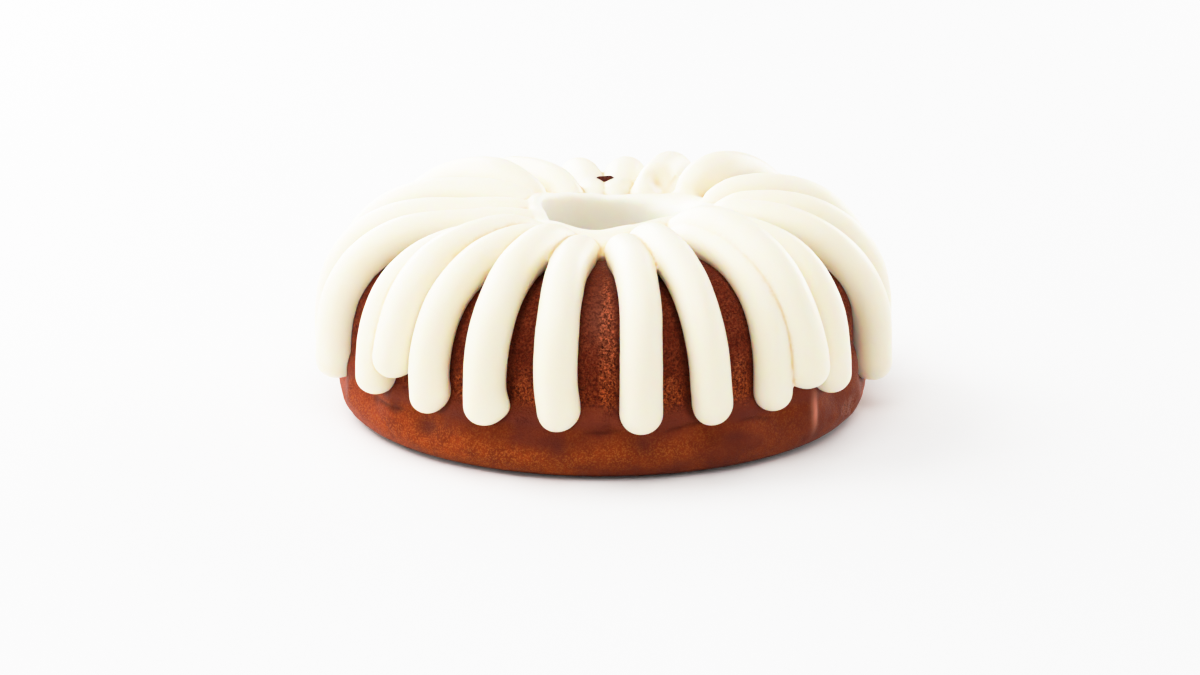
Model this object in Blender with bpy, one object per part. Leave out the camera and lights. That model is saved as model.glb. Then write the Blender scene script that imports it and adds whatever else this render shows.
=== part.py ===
"""A fluted ring cake under piped icing: a collar round its hole and fingers down its side.

Metres, +Z up. The origin is on the flat underside, in the middle of the hole. A bearing is
an angle in degrees from the front (-Y), positive toward the right (+X).
"""

from math import asin, pi, radians, sin

import bpy
import numpy as np

# Section of the cake, from the hole outward
HOLE_FOOT_RADIUS = 0.025
HOLE_FOOT_EDGE = 0.004
SHOULDER_RADIUS = 0.0365
SHOULDER_HEIGHT = 0.060
CREST_RADIUS = 0.0664
CREST_HEIGHT = 0.0857
WALL_RADIUS = 0.1188
WALL_TOP = 0.0360
DOME_POWER = 2.58
BAND_RADIUS = 0.1232
BAND_EDGE = 0.013

# Flutes of the cake: soft ridges with a valley at the front
FLUTES = 18
FLUTE_HALF_DEPTH = 0.0021
FLUTE_CRISPNESS = 0.93
FLUTE_FOOT = 0.006
FLUTE_FULL = 0.026
FLUTE_ON_CREST = 0.35

# The cake stands a little higher on the right and at the back: rise per metre of height
LEAN_RIGHT = 0.022
LEAN_BACK = 0.014

# Icing: fingers of round section, sunk a little into the cake
FINGER_WIDTH = 0.0184
FINGER_TOP_HALF = 0.00925
FINGER_SUNK_HALF = 0.0114
FINGER_LIFT = 0.0073
FINGER_START_DROP = 0.0092
FINGER_START_WIDTH = 0.74
FINGER_WIDENING = 0.034
RISE_FULL = 0.040
RISE_BEFORE_CREST = 0.0088
RISE_REACH = 0.036
SIDES = 8
SPAN_STEPS = 8
ROUNDED_END_STEPS = 3

# Icing: the collar, whose opening sits a little to the right and dips toward the back
COLLAR_SHIFT = 0.006
COLLAR_DIP = 0.080
THROAT_RADIUS = 0.0325
THROAT_FOOT = 0.060
RIM_HEIGHT = 0.0915
THROAT_BEVEL = 0.0025
COLLAR_SUNK = 0.004
COLLAR_SUNK_HEIGHT = 0.066

# Clear space between icing and cake
GAP = 0.0003

# Steps of the meshes and of the curve that a finger follows
CAKE_STEPS = 4 * FLUTES
COLLAR_STEPS = 36
HUB_STEPS = 11
RUN_STEPS = 60

# Linear colours and roughness
CRUMB_COLOUR = (0.235, 0.052, 0.014)
CRUMB_ROUGHNESS = 0.5
ICING_COLOUR = (0.86, 0.79, 0.66)
ICING_ROUGHNESS = 0.38

# Fingers in order round the cake: bearing at the hub, bearing at the tip, distance of the
# start from the hub, height of the tip, rise above the common run at the hub and at the
# crest, thickness against the common one, sideways bow in degrees, lift of the whole run
FINGERS = [
    (-9.9, -9.2, 0.0425, 0.0250, -0.0034, -0.0050, 1.00, 0.0, 0.0),
    (8.8, 7.6, 0.0425, 0.0240, -0.0034, -0.0050, 1.00, 0.0, 0.0),
    (20.3, 21.8, 0.0410, 0.0255, 0.0, 0.0, 0.97, -0.3, 0.0),
    (38.6, 36.9, 0.0415, 0.0260, -0.0006, -0.0010, 0.92, -0.6, -0.0020),
    (45.4, 43.7, 0.0385, 0.0345, -0.0030, -0.0008, 1.08, -2.6, 0.0036),
    (52.0, 53.6, 0.0415, 0.0265, -0.0014, -0.0028, 0.96, 0.4, 0.0),
    (68.0, 81.8, 0.0435, 0.0150, 0.0, -0.0012, 0.97, -3.8, 0.0002),
    (82.0, 92.0, 0.0440, 0.0240, -0.0007, -0.0010, 1.00, -1.5, 0.0),
    (103.2, 105.4, 0.0425, 0.0230, 0.0, 0.0, 1.02, 0.0, 0.0),
    (132.6, 131.0, 0.0465, 0.0250, 0.0, 0.0020, 1.14, 2.2, 0.0),
    (154.8, 156.0, 0.0390, 0.0270, -0.0024, -0.0038, 0.98, 4.0, 0.0),
    (173.0, 174.0, 0.0365, 0.0240, -0.0016, -0.0152, 1.20, 0.0, -0.0018),
    (-174.6, -172.2, 0.0375, 0.0260, -0.0010, -0.0132, 1.08, 0.0, -0.0016),
    (-158.4, -148.6, 0.0375, 0.0250, 0.0, -0.0024, 0.96, 3.0, 0.0),
    (-130.0, -129.0, 0.0410, 0.0270, 0.0035, 0.0042, 1.12, 0.0, 0.0),
    (-110.0, -106.5, 0.0370, 0.0260, 0.0055, 0.0010, 1.00, 0.0, 0.0),
    (-89.5, -91.0, 0.0350, 0.0230, 0.0055, -0.0025, 1.00, 0.0, -0.0006),
    (-72.0, -75.6, 0.0345, 0.0210, 0.0030, -0.0035, 1.04, 1.3, 0.0),
    (-51.0, -52.9, 0.0365, 0.0270, -0.0024, -0.0036, 0.95, -0.8, 0.0),
    (-46.2, -46.6, 0.0385, 0.0385, 0.0, 0.0, 1.03, 0.0, 0.0006),
    (-34.5, -37.5, 0.0400, 0.0260, -0.0007, -0.0010, 0.94, 0.0, 0.0),
    (-22.7, -23.9, 0.0410, 0.0250, 0.0, 0.0, 1.00, 0.0, 0.0),
]

# Collar round the hole: bearing, rise of the rim, outer radius, height at the outer radius,
# rounding of the rim, widening of the hole
COLLAR_SHAPE = [
    (-176.0, 0.0, 0.0640, 0.0905, 0.0030, 0.0),
    (-160.0, 0.0020, 0.0630, 0.0910, 0.0030, 0.0005),
    (-135.0, 0.0045, 0.0620, 0.0905, 0.0030, 0.0010),
    (-112.0, 0.0072, 0.0600, 0.0890, 0.0035, 0.0022),
    (-92.0, 0.0078, 0.0590, 0.0880, 0.0035, 0.0016),
    (-76.0, 0.0050, 0.0570, 0.0865, 0.0040, 0.0006),
    (-60.0, 0.0008, 0.0560, 0.0845, 0.0055, 0.0),
    (-48.0, 0.0014, 0.0560, 0.0840, 0.0060, 0.0),
    (-14.0, -0.0016, 0.0530, 0.0805, 0.0060, 0.0),
    (10.0, 0.0002, 0.0530, 0.0805, 0.0060, 0.0),
    (34.0, 0.0018, 0.0570, 0.0850, 0.0060, 0.0),
    (70.0, 0.0012, 0.0590, 0.0880, 0.0090, 0.0),
    (98.0, 0.0004, 0.0620, 0.0905, 0.0120, 0.0),
    (120.0, 0.0004, 0.0655, 0.0955, 0.0120, 0.0),
    (143.0, 0.0004, 0.0680, 0.0985, 0.0100, 0.0),
    (160.0, 0.0, 0.0660, 0.0960, 0.0050, 0.0),
    (168.0, 0.0, 0.0660, 0.0950, 0.0040, 0.0),
    (176.0, 0.0, 0.0640, 0.0905, 0.0030, 0.0),
]


def material(name, colour, roughness):
    """A Principled material of one linear colour."""
    made = bpy.data.materials.new(name)
    made.use_nodes = True
    shader = made.node_tree.nodes["Principled BSDF"]
    shader.inputs["Base Color"].default_value = (*colour, 1.0)
    shader.inputs["Roughness"].default_value = roughness
    shader.inputs["Metallic"].default_value = 0.0
    made.diffuse_color = (*colour, 1.0)
    return made


def arc(centre, radii, start, stop, steps, power=2.0):
    """Points (radius, height) on a superellipse between two angles measured from +radius."""
    angle = np.radians(np.linspace(start, stop, steps + 1))
    across = np.sign(np.cos(angle)) * np.abs(np.cos(angle)) ** (2.0 / power)
    up = np.sign(np.sin(angle)) * np.abs(np.sin(angle)) ** (2.0 / power)
    return np.stack([centre[0] + radii[0] * across, centre[1] + radii[1] * up], 1)


def dome(steps):
    """The cake's section from the top of its wall up to its crest."""
    radii = (WALL_RADIUS - CREST_RADIUS, CREST_HEIGHT - WALL_TOP)
    return arc((CREST_RADIUS, WALL_TOP), radii, 0.0, 90.0, steps, DOME_POWER)


def cake_section():
    """The cake's closed section, from the foot of the hole outward, over and back down."""
    inner = HOLE_FOOT_RADIUS + HOLE_FOOT_EDGE
    band = BAND_RADIUS - BAND_EDGE
    drop = CREST_HEIGHT - SHOULDER_HEIGHT
    return np.concatenate([
        [(inner, 0.0)],
        arc((band, BAND_EDGE), (BAND_EDGE, BAND_EDGE), -90.0, 0.0, 4),
        [(BAND_RADIUS + (WALL_RADIUS - BAND_RADIUS) * part,
          BAND_EDGE + (WALL_TOP - BAND_EDGE) * part) for part in (1.0 / 3.0, 2.0 / 3.0)],
        dome(8),
        arc((CREST_RADIUS, SHOULDER_HEIGHT), (CREST_RADIUS - SHOULDER_RADIUS, drop), 90.0, 180.0, 5)[1:],
        [(HOLE_FOOT_RADIUS, HOLE_FOOT_EDGE)],
    ])


def outward_normals(section):
    """Unit normals of a closed section whose solid lies on the left of its direction."""
    along = np.roll(section, -1, 0) - np.roll(section, 1, 0)
    normal = np.stack([along[:, 1], -along[:, 0]], 1)
    return normal / np.linalg.norm(normal, axis=1)[:, None]


def smooth_step(value, low, high):
    """0 below low, 1 above high, with an even rise between."""
    part = np.clip((value - low) / (high - low), 0.0, 1.0)
    return part * part * (3.0 - 2.0 * part)


def flute_share(section):
    """How deep the flutes are along the section: full on the wall, none at foot and hole."""
    radius, height = section.T
    rising = smooth_step(height, FLUTE_FOOT, FLUTE_FULL)
    toward_crest = smooth_step(radius, CREST_RADIUS, WALL_RADIUS)
    outside = smooth_step(radius, SHOULDER_RADIUS, CREST_RADIUS)
    return rising * outside * (FLUTE_ON_CREST + (1.0 - FLUTE_ON_CREST) * toward_crest)


def flute_wave(bearing):
    """A softened triangle wave round the cake, -1 in the valleys and 1 on the ridges."""
    swing = -FLUTE_CRISPNESS * np.cos(FLUTES * bearing)
    return np.arcsin(swing) / asin(FLUTE_CRISPNESS)


def leaning(points):
    """Points with each height scaled by the cake's lean toward that side."""
    x, y, z = np.moveaxis(points, -1, 0)
    reach = np.maximum(np.hypot(x, y), SHOULDER_RADIUS)
    scale = 1.0 + (LEAN_RIGHT * x + LEAN_BACK * y) / reach
    return np.stack([x, y, z * scale], -1)


def around(bearing, radius, height):
    """Points at a bearing in radians, a radius and a height."""
    return np.stack([radius * np.sin(bearing), -radius * np.cos(bearing), height], -1)


def mesh_object(name, points, faces):
    """A smooth-shaded object from world points and faces."""
    mesh = bpy.data.meshes.new(name)
    mesh.from_pydata(points.tolist(), [], faces)
    mesh.validate()
    mesh.update()
    mesh.shade_smooth()
    made = bpy.data.objects.new(name, mesh)
    bpy.context.scene.collection.objects.link(made)
    return made


def ring_faces(turns, stations):
    """Triangles of a closed section carried all the way round, wound to face outward."""
    faces = []
    for turn in range(turns):
        here = turn * stations
        there = (turn + 1) % turns * stations
        for station in range(stations):
            after = (station + 1) % stations
            faces.append((here + station, there + station, there + after))
            faces.append((here + station, there + after, here + after))
    return faces


def cake(name, growth=0.0):
    """The fluted ring, grown outward by a small distance when it serves as a cutter."""
    section = cake_section()
    normal = outward_normals(section)
    share = flute_share(section)
    bearing = np.arange(CAKE_STEPS)[:, None] * 2.0 * pi / CAKE_STEPS
    push = growth + FLUTE_HALF_DEPTH * flute_wave(bearing) * share
    radius = section[:, 0] + push * normal[:, 0]
    height = section[:, 1] + push * normal[:, 1]
    points = leaning(around(bearing + 0.0 * radius, radius, height))
    return mesh_object(name, points.reshape(-1, 3), ring_faces(CAKE_STEPS, len(section)))


def finger_run(hub_bearing, start, tip_height, lift):
    """The middle line of a finger as (radius, height), from the collar to its tip."""
    surface = dome(RUN_STEPS)[::-1]
    normal = np.gradient(surface, axis=0)[:, ::-1] * (-1.0, 1.0)
    normal = np.abs(normal) / np.linalg.norm(normal, axis=1)[:, None]
    over = surface + lift * normal
    start_radius = start + COLLAR_SHIFT * sin(radians(hub_bearing))
    start = np.array([start_radius, over[0, 1] - FINGER_START_DROP])
    part = np.arange(HUB_STEPS)[:, None] / HUB_STEPS
    rise = 1.0 - (1.0 - part) ** 2
    inner = start + (over[0] - start) * np.hstack([part, rise])
    tip_radius = np.interp(tip_height, over[::-1, 1], over[::-1, 0])
    over = over[over[:, 1] > tip_height + 0.0002]
    return np.vstack([inner, over, [(tip_radius, tip_height)]])


def finger(name, settings):
    """One piped finger: a round section carried over the cake, both ends rounded. Where it is
    raised, its underside still reaches the cake."""
    hub_bearing, tip_bearing, start, tip_height, hub_rise, *rest = settings
    crest_rise, thickness, bow, cover = rest
    run = finger_run(hub_bearing, start, tip_height, FINGER_LIFT + cover)
    length = np.r_[0.0, np.cumsum(np.linalg.norm(np.diff(run, axis=0), axis=1))]
    whole = length[-1]
    rounding = thickness * FINGER_WIDTH / 2.0

    turn = np.linspace(0.0, pi / 2.0, ROUNDED_END_STEPS + 1)
    first = rounding * (1.0 - np.cos(turn))
    middle = np.linspace(rounding, whole - rounding, SPAN_STEPS + 1)[1:-1]
    station = np.concatenate([first, middle, whole - first[::-1]])
    to_end = np.minimum(np.minimum(station, whole - station) / rounding, 1.0)
    ring = np.sqrt(1.0 - (1.0 - to_end) ** 2)
    widening = smooth_step(station, 0.0, FINGER_WIDENING)
    ring = thickness * ring * (FINGER_START_WIDTH + (1.0 - FINGER_START_WIDTH) * widening)

    radius = np.interp(station, length, run[:, 0])
    raised = hub_rise + (crest_rise - hub_rise) * smooth_step(station, 0.0, RISE_FULL)
    past = np.maximum(station - length[HUB_STEPS] + RISE_BEFORE_CREST, 0.0)
    raised = raised * np.exp(-(past / RISE_REACH) ** 2)
    height = np.interp(station, length, run[:, 1]) + raised
    ahead = np.gradient(np.stack([radius, height], 1), station, axis=0)
    ahead = ahead / np.linalg.norm(ahead, axis=1)[:, None]
    share = smooth_step(station / whole, 0.0, 1.0)
    turned = hub_bearing + (tip_bearing - hub_bearing) * share + bow * np.sin(pi * share)
    bearing = np.radians(turned)

    side = np.arange(SIDES) * 2.0 * pi / SIDES
    sideways = FINGER_WIDTH / 2.0 * np.cos(side)
    sunk_half = FINGER_SUNK_HALF + cover + np.maximum(raised, 0.0)[:, None]
    off = ring[:, None] * np.where(np.sin(side) > 0.0, FINGER_TOP_HALF, sunk_half) * np.sin(side)
    section_radius = radius[:, None] - ahead[:, 1:] * off
    section_height = height[:, None] + ahead[:, :1] * off
    points = around(bearing[:, None] + 0.0 * off, section_radius, section_height)
    across = around(bearing + pi / 2.0, 1.0, 0.0 * bearing)
    points = points + (ring[:, None] * sideways)[..., None] * across[:, None, :]
    return mesh_object(name, *tube(leaning(points)))


def tube(rings):
    """Vertices and faces of a tube whose first and last rings close to a point each."""
    inside = rings[1:-1]
    count, sides = inside.shape[:2]
    points = np.vstack([inside.reshape(-1, 3), rings[0, :1], rings[-1, :1]])
    head, tail = count * sides, count * sides + 1
    faces = []
    for one in range(sides):
        two = (one + 1) % sides
        faces.append((head, two, one))
        for ring in range(count - 1):
            here, there = ring * sides, (ring + 1) * sides
            faces.append((here + one, here + two, there + two, there + one))
        last = (count - 1) * sides
        faces.append((last + one, last + two, tail))
    return points, faces


def round_table(table, bearing):
    """Columns of a table read at bearings in degrees, eased between its rows all round."""
    rows = np.array(sorted(table))
    turn = np.eye(1, rows.shape[1]) * 360.0
    rows = np.vstack([rows[-1:] - turn, rows, rows[:1] + turn])
    bearing = (bearing + 180.0) % 360.0 - 180.0
    after = np.clip(np.searchsorted(rows[:, 0], bearing), 1, len(rows) - 1)
    low, high = rows[after - 1], rows[after]
    part = smooth_step(bearing, low[:, 0], high[:, 0])[:, None]
    return (low + (high - low) * part)[:, 1:]


def collar(name):
    """The ring of icing round the hole: throat, rounded rim, and an outer foot in the cake.

    The rim, the hole and the outer edge are read from a table by bearing."""
    degrees = np.arange(COLLAR_STEPS) * 360.0 / COLLAR_STEPS
    read = round_table(COLLAR_SHAPE, degrees).T[:, :, None]
    rise, outer_radius, outer_height, rounding, wider = read
    even = np.ones((COLLAR_STEPS, 1))
    rim = arc((1.0, -1.0), (1.0, 1.0), 30.0, 180.0, 6)
    radius = np.hstack([
        (SHOULDER_RADIUS + COLLAR_SUNK) * even,
        outer_radius - COLLAR_SUNK,
        outer_radius,
        THROAT_RADIUS + wider + rounding * rim[:, 0],
        THROAT_RADIUS + wider,
        THROAT_RADIUS + wider + THROAT_BEVEL,
    ])
    height = np.hstack([
        THROAT_FOOT * even,
        COLLAR_SUNK_HEIGHT * even,
        outer_height,
        RIM_HEIGHT + rise + rounding * rim[:, 1],
        (THROAT_FOOT + THROAT_BEVEL) * even,
        THROAT_FOOT * even,
    ])
    points = around(np.radians(degrees)[:, None] + 0.0 * radius, radius, height)
    points[..., 2] -= COLLAR_DIP * points[..., 1]
    points = leaning(points + (COLLAR_SHIFT, 0.0, 0.0))
    stations = radius.shape[1]
    return mesh_object(name, points.reshape(-1, 3), ring_faces(COLLAR_STEPS, stations))


def add_boolean(target, operation, **operand):
    """A Boolean on the target with one object or one collection, all of them closed."""
    modifier = target.modifiers.new(operation.title(), "BOOLEAN")
    modifier.operation = operation
    modifier.solver = "MANIFOLD"
    for setting, value in operand.items():
        setattr(modifier, setting, value)


def icing(name):
    """Collar and fingers fused into one body, then cut back to clear the cake."""
    fingers = bpy.data.collections.new("fingers")
    bpy.context.scene.collection.children.link(fingers)
    for number, settings in enumerate(FINGERS, start=1):
        piece = finger(f"finger_{number}", settings)
        bpy.context.scene.collection.objects.unlink(piece)
        fingers.objects.link(piece)
    made = collar(name)
    cutter = cake("clearance", GAP)
    add_boolean(made, "UNION", operand_type="COLLECTION", collection=fingers)
    add_boolean(made, "DIFFERENCE", object=cutter)

    graph = bpy.context.evaluated_depsgraph_get()
    fused = bpy.data.meshes.new_from_object(made.evaluated_get(graph))
    made.modifiers.clear()
    made.data = fused
    for helper in [cutter, *fingers.objects]:
        bpy.data.objects.remove(helper)
    bpy.data.collections.remove(fingers)
    return made


def main():
    for leftover in list(bpy.data.objects):
        bpy.data.objects.remove(leftover)
    body = cake("cake")
    body.data.materials.append(material("crumb", CRUMB_COLOUR, CRUMB_ROUGHNESS))
    piping = icing("icing")
    piping.data.materials.clear()
    piping.data.materials.append(material("icing", ICING_COLOUR, ICING_ROUGHNESS))


if __name__ == "__main__":
    main()
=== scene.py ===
"""Dresses a fluted ring cake under piped icing: crumb, icing, floor, light and camera.

Metres, +Z up. The origin is on the flat underside, in the middle of the hole. A bearing is
an angle from the front (-Y), positive toward the right (+X), in degrees where a table gives it.
"""

from math import asin, cos, pi, radians, sin

import bpy
import numpy as np
from bpy.props import FloatProperty, FloatVectorProperty, IntProperty, PointerProperty
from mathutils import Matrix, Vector


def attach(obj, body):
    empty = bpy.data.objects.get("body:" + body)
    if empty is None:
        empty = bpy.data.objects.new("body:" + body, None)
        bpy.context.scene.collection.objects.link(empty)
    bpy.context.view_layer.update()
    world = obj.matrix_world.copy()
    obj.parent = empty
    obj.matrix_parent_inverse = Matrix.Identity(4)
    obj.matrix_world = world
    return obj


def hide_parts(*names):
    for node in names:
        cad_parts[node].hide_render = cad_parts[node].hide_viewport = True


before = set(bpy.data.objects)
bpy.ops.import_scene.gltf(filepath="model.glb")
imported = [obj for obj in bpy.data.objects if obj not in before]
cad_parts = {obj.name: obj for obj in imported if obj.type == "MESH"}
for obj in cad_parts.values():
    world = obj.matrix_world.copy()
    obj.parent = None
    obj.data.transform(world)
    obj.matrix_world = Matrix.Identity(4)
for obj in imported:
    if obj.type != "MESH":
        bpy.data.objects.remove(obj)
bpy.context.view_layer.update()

bl_info = {
    "name": "Iced Ring Cake",
    "version": (1, 0, 0),
    "blender": (4, 5, 0),
    "location": "View3D > Sidebar > Ring Cake",
    "description": "Models a fluted ring cake with piped icing, its floor, light and camera",
    "category": "Add Mesh",
}

BODY = "root"

# Section of the cake, from the hole outward
HOLE_FOOT_RADIUS = 0.025
HOLE_FOOT_EDGE = 0.004
SHOULDER_RADIUS = 0.0365
SHOULDER_HEIGHT = 0.060
CREST_RADIUS = 0.0664
CREST_HEIGHT = 0.0857
WALL_RADIUS = 0.1188
WALL_TOP = 0.0360
DOME_POWER = 2.58
BAND_RADIUS = 0.1232
BAND_EDGE = 0.013

# Flutes: soft ridges with a valley at the front, fading toward foot and crest
FLUTE_CRISPNESS = 0.93
FLUTE_FOOT = 0.006
FLUTE_FULL = 0.026
FLUTE_ON_CREST = 0.35

# Rise per metre of height toward the right and toward the back
LEAN_RIGHT = 0.022
LEAN_BACK = 0.014

# Fingers of icing
FINGER_TOP_SHARE = 1.005
FINGER_SUNK_SHARE = 1.174
FINGER_START_DROP = 0.0092
INNER_SPANS = 24
FINGER_START_WIDTH = 0.74
FINGER_WIDENING = 0.034
RISE_FULL = 0.040
RISE_BEFORE_CREST = 0.0088
RISE_REACH = 0.036
TIP_CLEARANCE = 0.0002

# Unevenness of a hand-held bag: share of the width or turn in radians, length of a wave
WIDTH_WAVE = (0.022, 0.024)
TURN_WAVE = (0.004, 0.035)

# Slight swelling of every finger toward its tip
TIP_SWELL = 0.03
TIP_SWELL_REACH = 0.014

# Collar of icing
COLLAR_SHIFT = 0.006
COLLAR_DIP = 0.080
THROAT_RADIUS = 0.0325
THROAT_FOOT = 0.060
RIM_HEIGHT = 0.0915
THROAT_BEVEL = 0.0025
COLLAR_SUNK = 0.004
COLLAR_SUNK_HEIGHT = 0.066

# Fingers in order round the cake: bearing at the hub, bearing at the tip, distance of the
# start from the hub, height of the tip, rise above the common run at the hub and at the
# crest, thickness against the common one, sideways bow in degrees, lift of the whole run
FINGERS = [
    (-9.9, -9.2, 0.0425, 0.0250, -0.0034, -0.0050, 1.00, 0.0, 0.0),
    (8.8, 7.6, 0.0425, 0.0240, -0.0034, -0.0050, 1.00, 0.0, 0.0),
    (20.3, 21.8, 0.0410, 0.0255, 0.0, 0.0, 0.97, -0.3, 0.0),
    (38.6, 36.9, 0.0415, 0.0260, -0.0006, -0.0010, 0.92, -0.6, -0.0020),
    (45.4, 43.7, 0.0385, 0.0345, -0.0030, -0.0008, 1.08, -2.6, 0.0036),
    (52.0, 53.6, 0.0415, 0.0265, -0.0014, -0.0028, 0.96, 0.4, 0.0),
    (68.0, 81.8, 0.0435, 0.0150, 0.0, -0.0012, 0.97, -3.8, 0.0002),
    (82.0, 92.0, 0.0440, 0.0240, -0.0007, -0.0010, 1.00, -1.5, 0.0),
    (103.2, 105.4, 0.0425, 0.0230, 0.0, 0.0, 1.02, 0.0, 0.0),
    (132.6, 131.0, 0.0465, 0.0250, 0.0, 0.0020, 1.14, 2.2, 0.0),
    (154.8, 156.0, 0.0390, 0.0270, -0.0024, -0.0038, 0.98, 4.0, 0.0),
    (173.0, 174.0, 0.0365, 0.0240, -0.0016, -0.0152, 1.20, 0.0, -0.0018),
    (-174.6, -172.2, 0.0375, 0.0260, -0.0010, -0.0132, 1.08, 0.0, -0.0016),
    (-158.4, -148.6, 0.0375, 0.0250, 0.0, -0.0024, 0.96, 3.0, 0.0),
    (-130.0, -129.0, 0.0410, 0.0270, 0.0035, 0.0042, 1.12, 0.0, 0.0),
    (-110.0, -106.5, 0.0370, 0.0260, 0.0055, 0.0010, 1.00, 0.0, 0.0),
    (-89.5, -91.0, 0.0350, 0.0230, 0.0055, -0.0025, 1.00, 0.0, -0.0006),
    (-72.0, -75.6, 0.0345, 0.0210, 0.0030, -0.0035, 1.04, 1.3, 0.0),
    (-51.0, -52.9, 0.0365, 0.0270, -0.0024, -0.0036, 0.95, -0.8, 0.0),
    (-46.2, -46.6, 0.0385, 0.0385, 0.0, 0.0, 1.03, 0.0, 0.0006),
    (-34.5, -37.5, 0.0400, 0.0260, -0.0007, -0.0010, 0.94, 0.0, 0.0),
    (-22.7, -23.9, 0.0410, 0.0250, 0.0, 0.0, 1.00, 0.0, 0.0),
]

# Bulges of single fingers near their tips: place in the list, growth to the right and to the
# left, distance of the middle from the tip's end, reach along the finger
TIP_BULGES = [
    (21, 0.0021, 0.0, 0.0085, 0.0050), (20, 0.0013, 0.0, 0.0105, 0.0045),
    (20, 0.0, -0.0014, 0.0060, 0.0080), (0, 0.0010, 0.0, 0.0110, 0.0075),
    (0, 0.0, -0.0012, 0.0060, 0.0090), (2, 0.0006, 0.0, 0.0100, 0.0070),
    (2, 0.0, -0.0012, 0.0060, 0.0080),
]

# Collar round the hole: bearing, rise of the rim, outer radius, height at the outer radius,
# rounding of the rim, widening of the hole
COLLAR_SHAPE = [
    (-176.0, 0.0, 0.0640, 0.0905, 0.0030, 0.0),
    (-160.0, 0.0020, 0.0630, 0.0910, 0.0030, 0.0005),
    (-135.0, 0.0045, 0.0620, 0.0905, 0.0030, 0.0010),
    (-112.0, 0.0072, 0.0600, 0.0890, 0.0035, 0.0022),
    (-92.0, 0.0078, 0.0590, 0.0880, 0.0035, 0.0016),
    (-76.0, 0.0050, 0.0570, 0.0865, 0.0040, 0.0006),
    (-60.0, 0.0008, 0.0560, 0.0845, 0.0055, 0.0),
    (-48.0, 0.0014, 0.0560, 0.0840, 0.0060, 0.0),
    (-14.0, -0.0016, 0.0530, 0.0805, 0.0060, 0.0),
    (10.0, 0.0002, 0.0530, 0.0805, 0.0060, 0.0),
    (34.0, 0.0018, 0.0570, 0.0850, 0.0060, 0.0),
    (70.0, 0.0012, 0.0590, 0.0880, 0.0090, 0.0),
    (98.0, 0.0004, 0.0620, 0.0905, 0.0120, 0.0),
    (120.0, 0.0004, 0.0655, 0.0955, 0.0120, 0.0),
    (143.0, 0.0004, 0.0680, 0.0985, 0.0100, 0.0),
    (160.0, 0.0, 0.0660, 0.0960, 0.0050, 0.0),
    (168.0, 0.0, 0.0660, 0.0950, 0.0040, 0.0),
    (176.0, 0.0, 0.0640, 0.0905, 0.0030, 0.0),
]

# Swelling of the crumb's crest: bearing, rise, half width in degrees, reach across, and the
# height from which it is full
CREST_SWELLING = (179.2, 0.0056, 5.0, 0.007)
SWELLING_FULL = WALL_TOP + 0.5 * CREST_HEIGHT

# Dents in the icing, and where its folds run together: place, radius, depth or share
HUB_DENTS = [((0.0288, 0.0468, 0.0990), 0.0068, 0.0068)]
HUB_BLENDS = [((0.0390, 0.0340, 0.0940), 0.0110, 1.0), ((0.0345, 0.0400, 0.0925), 0.0110, 1.0),
              ((-0.0800, -0.0640, 0.0740), 0.0120, 0.8),
              ((-0.0900, -0.0750, 0.0600), 0.0100, 0.6)]

# Marks on the crumb as bearing, height, half width and half height of each, and for the
# rough strips their strength
DARK_SPOTS = [(-57.7, 0.0215, 0.004, 0.0030), (-48.8, 0.0225, 0.003, 0.0025),
          (-39.5, 0.0172, 0.005, 0.0038), (-9.3, 0.0165, 0.0038, 0.0055),
          (8.2, 0.0185, 0.0042, 0.0050), (28.0, 0.0170, 0.006, 0.0030),
          (96.0, 0.0185, 0.005, 0.0040), (131.0, 0.0170, 0.004, 0.0045),
          (169.0, 0.0190, 0.005, 0.0035), (-152.0, 0.0165, 0.004, 0.0050),
          (-111.0, 0.0185, 0.005, 0.0040)]
ROUGH_STRIPS = [(1.0, 0.055, 0.0042, 0.034, 1.0), (14.5, 0.036, 0.0060, 0.012, 0.6),
                (29.5, 0.039, 0.0050, 0.013, 0.6), (-16.5, 0.036, 0.0060, 0.013, 0.6),
                (-30.5, 0.036, 0.0060, 0.012, 0.6), (98.5, 0.042, 0.0050, 0.030, 0.4),
                (117.0, 0.046, 0.0060, 0.030, 0.5), (141.0, 0.040, 0.0060, 0.028, 0.4),
                (163.0, 0.046, 0.0060, 0.032, 0.5), (-161.0, 0.042, 0.0060, 0.030, 0.4),
                (-140.0, 0.042, 0.0060, 0.030, 0.5), (-118.0, 0.046, 0.0060, 0.028, 0.4),
                (-98.0, 0.040, 0.0050, 0.030, 0.4)]
# The sheen: gloss with a painted highlight at the top of the front panel
SHEEN = (-0.5, 0.073, 0.0070, 0.0110)
DARK_PATCHES = [(-1.0, 0.0240, 0.012, 0.0034), (14.5, 0.0235, 0.012, 0.0045),
                (-16.5, 0.0255, 0.012, 0.0040), (-30.5, 0.0245, 0.010, 0.0040),
                (30.0, 0.0250, 0.010, 0.0040), (28.0, 0.0110, 0.018, 0.0085),
                (50.0, 0.0120, 0.024, 0.0110), (66.0, 0.0120, 0.016, 0.0110),
                (10.0, 0.0040, 0.032, 0.0060), (-12.0, 0.0185, 0.022, 0.0035),
                (112.0, 0.0110, 0.022, 0.0080), (158.0, 0.0120, 0.024, 0.0070),
                (-158.0, 0.0190, 0.018, 0.0050), (-124.0, 0.0110, 0.020, 0.0060)]
TORN_PATCH = (66.0, 0.0118, 0.0105, 0.0056)
# A raised vertical ridge low on the right, which also carries a painted highlight
RIDGE_AND_HIGHLIGHT = (49.6, 0.0195, 0.0018, 0.0080)
CREASE_HEIGHT = 0.0232
CREASE_WIDTH = 0.0007
CREASE_FADE = 3.0
CREASE_RUNS = [(-57.0, -45.0), (-5.0, 5.5), (11.5, 23.0), (28.0, 39.0), (82.0, 97.0),
               (118.0, 126.0), (144.0, 163.0), (-176.0, -160.0), (-139.0, -121.0),
               (-101.0, -84.0)]

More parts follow.
